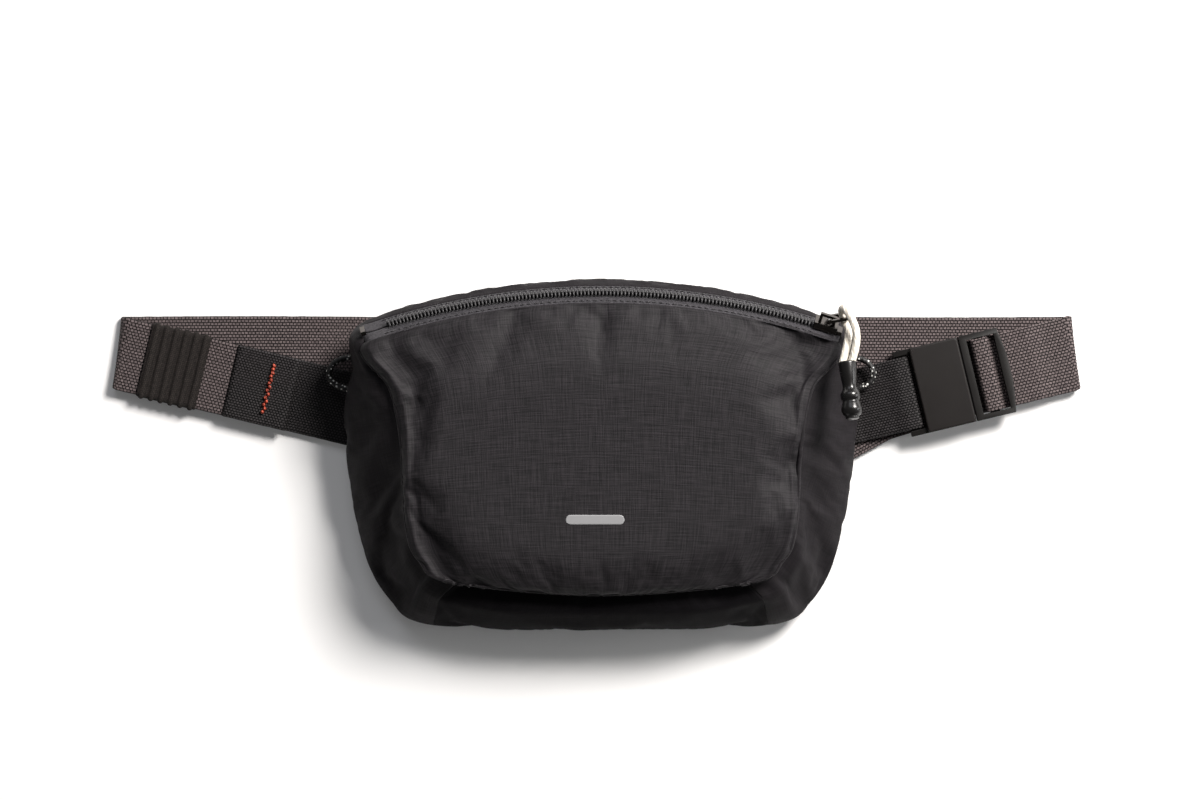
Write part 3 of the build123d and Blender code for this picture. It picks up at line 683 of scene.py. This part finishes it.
def makePanel(name, grid, material, thickness):
    used = grid.ravel()
    points = bagPoints[used] * mm
    local = np.arange(len(used)).reshape(grid.shape)
    u, v = panelLengths(grid)
    obj = makeMesh(name, points, quads(local, flip=True), material, np.stack([u.ravel(), v.ravel()], axis=1))
    smooth = obj.modifiers.new("fine", "SUBSURF")
    smooth.levels = smooth.render_levels = 1
    solid = obj.modifiers.new("cloth thickness", "SOLIDIFY")
    solid.thickness = thickness * mm
    solid.offset = -1
    applyModifiers(obj)
    return obj


# Turned edge of the front panel: a thin roll of cloth along its seam, below the lip
rollSet = {"top": 43.5, "count": 420, "sides": 8, "radius": 0.62, "inward": 0.25, "down": 0.35}
rimLine = np.concatenate([bagPoints[bagPanels[name][-1]] for name in ("right", "bottom", "left")])
rimLine = evenly(rimLine[rimLine[:, 1] < rollSet["top"]], rollSet["count"])
rollPoints = []
ahead = np.gradient(rimLine, axis=0)
ahead /= np.linalg.norm(ahead, axis=1, keepdims=True)
outward = np.cross(ahead, [0, 0, -1.0])
outward /= np.linalg.norm(outward, axis=1, keepdims=True)
for place, way, side in zip(rimLine, ahead, outward):
    up = np.cross(side, way)
    if np.dot(side, place - [bagSet["middle"], 5, 0]) < 0:
        side = -side
    rollPoints += ringAt(place - side * rollSet["inward"] - [0, 0, rollSet["down"]], side, up,
                         rollSet["radius"], rollSet["sides"])
roll = makeMesh("frontSeamRoll", np.array(rollPoints) * mm, gridFaces(len(rimLine), rollSet["sides"]),
                frontCloth, np.array(rollPoints)[:, :2])
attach(roll, "bag")

# On the bag the lip folds up between the two ends of the opening; here its pieces are only cut across at
# x = lipSet["cut"] either side of the middle and left where they lie.
lipSet = {"cut": 72.0, "end": 86.0, "low": 0.5, "high": 7.0, "panelEase": 0.72}


def cutAcross(obj):
    # three meshes from one, with the normals of the whole so that the cuts don't show
    mesh = obj.data
    places = readMesh(mesh.vertices, "co", 3)
    normals = readMesh(mesh.vertex_normals, "vector", 3)
    layer = mesh.uv_layers.active
    uvs = readMesh(layer.data, "uv", 2) if layer else None
    middle = bagSet["middle"] * mm
    groups = {"left": [], "middle": [], "right": []}
    for face in mesh.polygons:
        x = face.center.x - middle
        side = "middle" if abs(x) < lipSet["cut"] * mm else ("left" if x < 0 else "right")
        groups[side].append(face)
    pieces = {}
    for side, chosen in groups.items():
        loops = np.concatenate([np.array(face.loop_indices) for face in chosen])
        corners = np.concatenate([np.array(face.vertices) for face in chosen])
        used, local = np.unique(corners, return_inverse=True)
        ends = np.cumsum([len(face.vertices) for face in chosen])
        faces = [face.tolist() for face in np.split(local, ends[:-1])]
        part = makeMesh(obj.name + side.capitalize(), places[used], faces, mesh.materials[0])
        if layer:
            part.data.uv_layers.new(name="weave").data.foreach_set("uv", uvs[loops].ravel())
        part.data.normals_split_custom_set_from_vertices(normals[used].tolist())
        pieces[side] = part
    bpy.data.objects.remove(obj)
    return pieces


def foldWithLip(obj, nodes, alongPanel=False):
    for side, part in cutAcross(obj).items():
        if nodes:
            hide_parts(*nodes)
        sign = {"left": -1, "middle": 0, "right": 1}[side]
        if not sign:
            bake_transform(part)
        elif alongPanel:
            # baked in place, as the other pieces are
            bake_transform(part)
        else:
            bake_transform(part)


frontPanel = makePanel("frontPanel", bagPanels["front"], frontCloth, bagSet["cloth"])
for name, key, node, material in (
    ("sideGussetRight", "right", "side_gusset_right", gussetCloth),
    ("sideGussetLeft", "left", "side_gusset_left", gussetCloth),
    ("baseGusset", "bottom", "base_gusset", basePaintedShadeCloth),
):
    gusset = makePanel(name, bagPanels[key], material, bagSet["gusset"])
    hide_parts(node)
    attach(gusset, "bag")
topStrip = makePanel("topStrip", bagPanels["top"][:zipRow + 1], gussetCloth, bagSet["gusset"])
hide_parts("top_strip")
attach(topStrip, "bag")
tapeRear = makePanel("zipTapeRear", bagPanels["top"][zipRow:middleRow + 1], tapeCloth, bagSet["tape"])
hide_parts("zip_tape_rear")
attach(tapeRear, "bag")
tapeFront = makePanel("zipTapeFront", bagPanels["top"][middleRow + 1:], tapeCloth, bagSet["tape"])
foldWithLip(tapeFront, ("zip_tape_front", "zip_tape_ends"))
print("bag panels ready")


# Zip chain: two rows of coil loops that mesh along the arc
def onTape(across, out, turn):
    radius = zipSet["radius"] - across * math.sin(zipSet["lean"]) + out * math.cos(zipSet["lean"])
    height = zipSet["centre"][2] + across * math.cos(zipSet["lean"]) + out * math.sin(zipSet["lean"])
    x, y = zipSet["centre"][:2]
    return np.array([x + radius * math.sin(turn), y + radius * math.cos(turn), height])


def coilRow(name, side):
    # each loop is a short arch of wire from the tape out to the head and back
    wire, ring = 0.42 * mm, 6
    loopPath = [(2.7, 0.55), (2.2, 1.5), (1.0, 1.95), (-0.1, 1.75), (-0.45, 1.2), (0.2, 0.75), (1.6, 0.55)]
    path = catmull(loopPath, 14)
    pitch = zipSet["pitch"] / zipSet["radius"]
    count = int(zipSet["chain"] / pitch)
    points, faces = [], []
    for k in range(-count, count + 1):
        turn = (k + (0.5 if side > 0 else 0)) * pitch
        faces += gridFaces(len(path), ring, start=len(points))
        for across, out in path:
            centre = onTape(side * across * mm, out * mm, turn)
            tangent = np.array([math.cos(turn), -math.sin(turn), 0])
            normal = onTape(0, mm, turn) - onTape(0, 0, turn)
            normal /= np.linalg.norm(normal)
            points += ringAt(centre, tangent, normal, wire, ring)
    return makeMesh(name, points, faces, coilNylon)


coilRear = coilRow("zipCoilRear", -1)
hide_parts("zip_coil_rear")
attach(coilRear, "bag")
coilFront = coilRow("zipCoilFront", 1)
foldWithLip(coilFront, ("zip_coil_front",))


def stitchLine(name, line, length, gap, thick, material, lift):
    # separate stitches that lie along a line of points (in metres), pushed out along lift
    line = np.asarray(line, float)
    along = runAlong(line)
    outDir = lift / np.linalg.norm(lift)
    starts = np.arange(0, along[-1] - length, length + gap)
    points, faces = [], []
    bulge = [(0.0, 0.15), (0.12, 0.7), (0.3, 1.0), (0.5, 1.05), (0.7, 1.0), (0.88, 0.7), (1.0, 0.15)]
    ring = 6
    for start in starts:
        faces += gridFaces(len(bulge), ring, start=len(points))
        for share, size in bulge:
            at = start + share * length
            place = pointsAt(line, along, at)
            way = pointsAt(line, along, at + 0.4 * mm) - place
            way /= max(np.linalg.norm(way), 1e-12)
            side = np.cross(way, outDir)
            side /= max(np.linalg.norm(side), 1e-12)
            place = place + outDir * thick * (0.15 + 0.35 * math.sin(math.pi * share))
            points += ringAt(place, side, outDir, size * thick / 2, ring)
    return makeMesh(name, points, faces, material)


outOfTape = np.array([0, math.cos(zipSet["lean"]), math.sin(zipSet["lean"])])
seamTurns = np.linspace(-zipSet["chain"] * 1.02, zipSet["chain"] * 1.02, 200)
for name, across, lipSide in (("zipStitchRear", -6.6, False), ("zipStitchFront", 6.4, True)):
    line = [onTape(across * mm, 0.05 * mm, turn) for turn in seamTurns]
    row = stitchLine(name, line, 2.2 * mm, 0.5 * mm, 0.5 * mm, darkThread, outOfTape)
    if lipSide:
        foldWithLip(row, ())
    else:
        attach(row, "bag")
print("zip ready")


# Belt webbing
strapSet = {"span": 399.0, "y": 42.3, "slope": math.radians(13.5), "thick": 1.4,
            "low": 3.4, "buckleX": 140.0, "flat": 0.75, "bendMiddle": 2.4, "bend": 1.7, "wing": 1.3}
halfBelt = strapSet["span"] / 2
slopeLeft = np.array([math.cos(strapSet["slope"]), -math.sin(strapSet["slope"]), 0])
slopeRight = np.array([math.cos(strapSet["slope"]), math.sin(strapSet["slope"]), 0])
buckleDrop = (halfBelt - strapSet["buckleX"]) * math.tan(strapSet["slope"])
buckleAt = np.array([strapSet["buckleX"], strapSet["y"] - buckleDrop, 0])
leftAt = np.array([-halfBelt, strapSet["y"], 0])


def strapMesh(name, centres, sides, thick, material, half=15.0, relief=0.12, step=0.65, start=0.0):
    # a woven strap: centres and sides (unit vectors across it) are in millimetres. Its two faces
    # rise and fall thread by thread, and its edges are rounded.
    centres, sides = np.asarray(centres, float), np.asarray(sides, float)
    along = runAlong(centres)
    count = max(3, int(along[-1] / step))
    at = np.linspace(0, along[-1], count)
    path = pointsAt(centres, along, at)
    side = pointsAt(sides, along, at)
    side /= np.linalg.norm(side, axis=1, keepdims=True)
    way = np.gradient(path, axis=0)
    way /= np.linalg.norm(way, axis=1, keepdims=True)
    up = np.cross(way, side)
    columns = int(2 * half / step)
    v = np.linspace(-half + 0.35, half - 0.35, columns)
    section = [(value, thick / 2, 1) for value in v]
    section += [(half, thick * 0.28, 0), (half + 0.12, 0, 0), (half, -thick * 0.28, 0)]
    section += [(value, -thick / 2, -1) for value in v[::-1]]
    section += [(-half, -thick * 0.28, 0), (-half - 0.12, 0, 0), (-half, thick * 0.28, 0)]
    points, uvs = [], []
    for i in range(count):
        for j, (across, rise, face) in enumerate(section):
            weave = relief * (1 if (i + j) % 2 else -0.4) if face else 0
            wander = 0.12 * noise((at[i] * 0.25, 3.0, start)) if face == 0 else 0
            out = across + wander * np.sign(across)
            points.append(path[i] + side[i] * out + up[i] * (rise + face * weave))
            uvs.append((at[i] + start, across + half))
    faces = gridFaces(count, len(section))
    faces.append(tuple(range(len(section)))[::-1])
    faces.append(tuple(range(len(points) - len(section), len(points))))
    return makeMesh(name, np.array(points) * mm, faces, material, uvs)


def strapPath(origin, along, stations):
    # stations are (distance along, sideways, height); returns centres and sides
    across = np.array([-along[1], along[0], 0])
    centres = [origin + along * u + across * v + np.array([0, 0, z]) for u, v, z in stations]
    return centres, [across] * len(centres)


def rounded(stations, radius, pieces=5):
    # the same stations with each corner replaced by a short bend of about that radius
    pts = [np.array(s, float) for s in stations]
    out = [pts[0]]
    for a, b, c in zip(pts, pts[1:], pts[2:]):
        one, two = a - b, c - b
        room = min(radius, 0.45 * np.linalg.norm(one), 0.45 * np.linalg.norm(two))
        start, end = b + one / np.linalg.norm(one) * room, b + two / np.linalg.norm(two) * room
        for t in np.linspace(0, 1, pieces):
            out.append((1 - t) ** 2 * start + 2 * t * (1 - t) * b + t**2 * end)
    out.append(pts[-1])
    return out


# Rear run with the left fold; it ends inside the left joint
foldHigh = strapSet["low"] + strapSet["thick"] / 2
rear, sides = [], []
y, bend, bendMiddle = strapSet["y"], strapSet["bend"], strapSet["bendMiddle"]
for x in np.linspace(halfBelt - 4.0, -halfBelt + bendMiddle, 60):
    # the run wanders a little where it lies free
    rear.append((x, y + 0.25 * math.sin(x / 31), strapSet["flat"]))
    sides.append((0, 1, 0))
leftAcross = np.array([math.sin(strapSet["slope"]), math.cos(strapSet["slope"]), 0])
for turn in np.linspace(0, math.pi, 13)[1:-1]:
    share = turn / math.pi
    tilt = leftAcross * share + np.array([0, 1, 0]) * (1 - share)
    rear.append((-halfBelt + bendMiddle - bend * math.sin(turn), y, bendMiddle - bend * math.cos(turn)))
    sides.append(tuple(tilt / np.linalg.norm(tilt)))
for u in np.linspace(3, 73, 30):
    place = leftAt + slopeLeft * u
    rear.append((place[0], place[1], foldHigh))
    sides.append(tuple(leftAcross))
beltMain = strapMesh("beltWebbing", rear, -np.array(sides), strapSet["thick"], greyWebbing)
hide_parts("belt_webbing")
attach(beltMain, "bag")
print("belt ready")

# Left joint: the wing from the bag, the layer sewn over the belt's end, and its bar of stitching
wingStations = [(46, 0, 2.4), (74, 0, 2.4), (107, 0, 2.5)]
centres, acrossLeft = strapPath(leftAt, slopeLeft, wingStations)
wingLeft = strapMesh("wingLeft", centres, acrossLeft, strapSet["wing"], blackWebbing, step=0.75)
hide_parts("wing_left")
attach(wingLeft, "bag")
capStations = rounded([(49, 0, 3.6), (49.1, 0, 5.6), (74, 0, 5.6), (75.2, 0, 4.6)], 1.2)
centres, acrossLeft = strapPath(leftAt, slopeLeft, capStations)
wingCap = strapMesh("wingLeftCap", centres, acrossLeft, strapSet["wing"], blackWebbing, step=0.75, half=15.2)
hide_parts("wing_left_cap")
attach(wingCap, "bag")

tackSet = {"along": 65, "half": 10.8, "high": 6.45, "zig": 0.5, "turns": 16, "stitch": 1.75, "gap": 0.1,
           "thread": 1.35}
tackLine = []
for k in range(tackSet["turns"]):
    share = k / (tackSet["turns"] - 1)
    zig = tackSet["zig"] if k % 2 else -tackSet["zig"]
    place = leftAt + slopeLeft * (tackSet["along"] + zig) + leftAcross * tackSet["half"] * (1 - 2 * share)
    tackLine.append((place + np.array([0, 0, tackSet["high"]])) * mm)
tack = stitchLine("orangeTack", tackLine, tackSet["stitch"] * mm, tackSet["gap"] * mm, tackSet["thread"] * mm,
                  orangeThread, np.array([0, 0, 1.0]))
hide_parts("bartack_left")
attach(tack, "bag")


# Elastic keeper: a flat band round the strap with raised ribs across it
keeperSet = {"start": 12.0, "length": 25.0, "wall": 1.1, "ribs": 6, "rib": 0.7, "half": 15.5, "low": 2.0,
             "high": 6.2, "corner": 1.4, "samples": 90}


def makeKeeper():
    half, low, high = keeperSet["half"], keeperSet["low"], keeperSet["high"]
    samples, corner = keeperSet["samples"], keeperSet["corner"]
    ringOut = []
    for cx, cz, start in ((half - corner, high - corner, 0), (-half + corner, high - corner, 90),
                          (-half + corner, low + corner, 180), (half - corner, low + corner, 270)):
        for a in np.linspace(start, start + 90, 6):
            turn = math.radians(a)
            ringOut.append((cx + corner * math.cos(turn) * 1.2, cz + corner * math.sin(turn)))
    fine = []
    for a, b in zip(ringOut, ringOut[1:] + ringOut[:1]):
        steps = max(1, int(math.hypot(b[0] - a[0], b[1] - a[1]) / 1.0))
        for t in range(steps):
            f = t / steps
            fine.append((a[0] + (b[0] - a[0]) * f, a[1] + (b[1] - a[1]) * f))
    centre = np.array([0, (low + high) / 2])
    points, uvs = [], []
    for inner in (False, True):
        for i in range(samples):
            share = i / (samples - 1)
            u = keeperSet["start"] + share * keeperSet["length"]
            wave = max(0, math.sin(share * keeperSet["ribs"] * 2 * math.pi - 1.2))
            rib = keeperSet["rib"] * wave ** 0.6 if 0 < i < samples - 1 else -0.25
            for k, (v, z) in enumerate(fine):
                out = np.array([v, z]) - centre
                grow = -keeperSet["wall"] if inner else rib - 0.2
                scale = np.array([1 + grow / half, 1 + grow / ((high - low) / 2)])
                across, height = centre + out * scale
                place = leftAt + slopeLeft * u + leftAcross * across + np.array([0, 0, height])
                points.append(place * mm)
                uvs.append((u, k))
    n = len(fine)
    offset = samples * n
    faces = [tuple(reversed(f)) for f in gridFaces(samples, n)] + gridFaces(samples, n, start=offset)
    for row in (0, samples - 1):
        for k in range(n):
            m = (k + 1) % n
            a, b, c, d = row * n + k, row * n + m, offset + row * n + m, offset + row * n + k
            faces.append((a, b, c, d) if row == 0 else (a, d, c, b))
    return makeMesh("elasticKeeper", points, faces, ribbedElastic, uvs)


keeper = makeKeeper()
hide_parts("keeper")
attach(keeper, "keeper")
print("left side ready")

# Right: the wing round the female half's bar, and the adjusting end through the male half
rightAcross = np.array([-math.sin(strapSet["slope"]), math.cos(strapSet["slope"]), 0])
wingRoute = rounded([(-44, 0, 4.3), (-32, 0, 4.5), (-19, 0, 6.9), (-13.5, 0, 8.55), (-8.15, 0, 8.5),
                     (-8.15, 0, 4.7), (-19, 0, 4.75)], 1.0)
centres, acrossRight = strapPath(buckleAt, slopeRight, wingRoute)
wingRight = strapMesh("wingRight", centres, acrossRight, strapSet["wing"], blackWebbing, step=0.75)
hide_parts("wing_right")
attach(wingRight, "bag")
foldAlong = (halfBelt - strapSet["buckleX"]) / math.cos(strapSet["slope"])
adjustRoute = rounded([(foldAlong - 3, 0, 4.1), (50, 0, 4.2), (43, 0, 5.6), (26.5, 0, 5.8), (25.3, 0, 9.7),
                       (19.7, 0, 9.75), (19.6, 0, 2.45), (2, 0, 2.45), (-22, -1.5, 2.3),
                       (-41, -6.5, 2.1)], 1.1)
centres, acrossRight = strapPath(buckleAt, slopeRight, adjustRoute)
foldCentres = [(halfBelt - 3.9, y, strapSet["flat"])]
foldSides = [(0, 1, 0)]
for turn in np.linspace(0, math.pi, 15)[1:-1]:
    share = turn / math.pi
    foldCentres.append((halfBelt - bendMiddle + bend * math.sin(turn), y, bendMiddle - bend * math.cos(turn)))
    foldSides.append(tuple(rightAcross * share + np.array([0, 1, 0]) * (1 - share)))
adjustEnd = strapMesh("beltAdjustEnd", foldCentres + centres, foldSides + acrossRight, strapSet["thick"],
                      greyWebbing, half=15.3)
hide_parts("belt_adjust_end")
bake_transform(adjustEnd)
print("right side ready")

# Back: padded mesh with a groove that the belt presses in, lining and slip pocket
backSet = {"groove": 1.75, "grooveHalf": 17.5, "edge": 2.6, "seams": (-38.0, -12.0, 14.0), "seam": 0.8,
           "channel": 2.4, "quilted": 78, "top": 7.2}


def makeBackPad():
    grid = bagPanels["back"]
    top = bagPoints[grid].copy()
    rows, columns = grid.shape
    u = np.abs(np.linspace(-1, 1, columns))[None, :].repeat(rows, 0)
    v = np.abs(np.linspace(-1, 1, rows))[:, None].repeat(columns, 1)
    edge = np.clip((1 - np.maximum(u, v)) / 0.09, 0, 1) ** 0.5
    y, x = top[:, :, 1], top[:, :, 0]
    inGroove = np.clip((backSet["grooveHalf"] - np.abs(y - strapSet["y"])) / 1.5, 0, 1)
    low = backSet["edge"] * (1 - edge)
    for seam in backSet["seams"]:
        channel = np.exp(-((y - seam) / backSet["channel"]) ** 2)
        inside = np.abs(x - bagSet["middle"]) < backSet["quilted"]
        low = np.maximum(low, backSet["seam"] * channel * inside)
    low = np.maximum(low, backSet["groove"] * inGroove)
    bottom = top.copy()
    bottom[:, :, 2] = low + 0.02
    bottom[:, :, :2] = bottom[:, :, :2] * 0.995
    top[:, :, 2] = backSet["top"]
    top[:, :, :2] = top[:, :, :2] * 0.975 + [0.05, 0]
    points = np.concatenate([bottom.reshape(-1, 3), top.reshape(-1, 3)]) * mm
    uvs = np.concatenate([np.stack([x.ravel(), y.ravel()], axis=1)] * 2)
    return makeMesh("backPad", points, layerFaces(rows, columns), meshCloth, uvs)


backPad = makeBackPad()
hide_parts("back_mesh", "back_foam")
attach(backPad, "bag")


def flatCloth(name, grid, low, high, material, shrink):
    # a thin sewn layer inside the bag, with a little slack in it
    rows, columns = grid.shape
    base = bagPoints[grid].copy()
    middle = [bagSet["middle"], 0]
    base[:, :, :2] = (base[:, :, :2] - middle) * shrink + middle
    points = []
    for level in (low, high):
        for i in range(rows):
            for j in range(columns):
                x, y, _ = base[i, j]
                ripple = 0.25 * noise((x * 0.05, y * 0.05, 1.7)) if level == high else 0
                points.append((x * mm, y * mm, (level + ripple) * mm))
    uvs = np.array(points)[:, :2] / mm
    return makeMesh(name, points, layerFaces(rows, columns), material, uvs)


lining = flatCloth("backLining", bagPanels["back"][::3, ::3], 7.25, 7.7, liningCloth, 0.965)
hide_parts("back_lining")
pocket = flatCloth("slipPocket", bagPanels["back"][22:60:2, 20:88:2], 7.9, 8.5, liningCloth, 1.0)
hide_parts("inner_pocket")
for piece in (lining, pocket):
    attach(piece, "bag")

# Plain reflective dash on the front, following the cloth under it
dashSet = {"length": 24.0, "width": 4.0, "y": -26.0, "x": -0.5}


def makeDash():
    tree = BVHTree.FromObject(frontPanel, bpy.context.evaluated_depsgraph_get())
    points, uvs = [], []
    n, m = 49, 9
    for lift in (0.12, -0.25):
        for i in range(n):
            t = -1 + 2 * i / (n - 1)
            x = t * dashSet["length"] / 2
            end = max(0, abs(x) - (dashSet["length"] - dashSet["width"]) / 2)
            half = math.sqrt(max(0.02, (dashSet["width"] / 2) ** 2 - end**2))
            for j in range(m):
                y = half * (-1 + 2 * j / (m - 1))
                px, py = dashSet["x"] + x, dashSet["y"] + y
                hit = tree.ray_cast(Vector((px * mm, py * mm, 0.1)), Vector((0, 0, -1)))[0]
                z = hit.z / mm if hit else 47.5
                points.append((px * mm, py * mm, (z + lift) * mm))
                uvs.append((x, y))
    return makeMesh("frontDash", points, layerFaces(n, m), silverPrint, uvs)


dash = makeDash()
foldWithLip(frontPanel, ("front_panel", "front_lip"), alongPanel=True)
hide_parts("front_dash")
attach(dash, "bag")

# Finishes for the frame's own hard pieces
def softened(node, width, material, body):
    # the frame's own piece with its edges rounded over, so that they catch the light
    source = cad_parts[node]
    obj = bpy.data.objects.new(node + "_soft", source.data.copy())
    scene.collection.objects.link(obj)
    obj.matrix_world = source.matrix_world.copy()
    net = bmesh.new()
    net.from_mesh(obj.data)
    bmesh.ops.remove_doubles(net, verts=net.verts, dist=1e-6)
    bmesh.ops.dissolve_limit(net, angle_limit=math.radians(2), verts=net.verts, edges=net.edges)
    net.to_mesh(obj.data)
    net.free()
    bevel = obj.modifiers.new("rounded edges", "BEVEL")
    bevel.width = width * mm
    bevel.segments = 3
    bevel.limit_method = "ANGLE"
    bevel.angle_limit = math.radians(35)
    bevel.harden_normals = True
    obj.data.polygons.foreach_set("use_smooth", [True] * len(obj.data.polygons))
    applyModifiers(obj)
    obj.data.materials.clear()
    obj.data.materials.append(material)
    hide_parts(node)
    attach(obj, body)


softened("buckle_female", 0.3, acetal, "bag")
softened("buckle_male", 0.4, acetal, "buckle_half")
softened("buckle_cover", 0.25, satinAcetal, "bag")
cadFinish = {
    "zip_slider": blackNickel, "zip_puller": blackNickel, "zip_stops": blackNickel,
    "magnet_female": nickel, "magnet_male": nickel,
}
for node, material in cadFinish.items():
    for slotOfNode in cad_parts[node].material_slots:
        slotOfNode.material = material

print("all pieces ready")
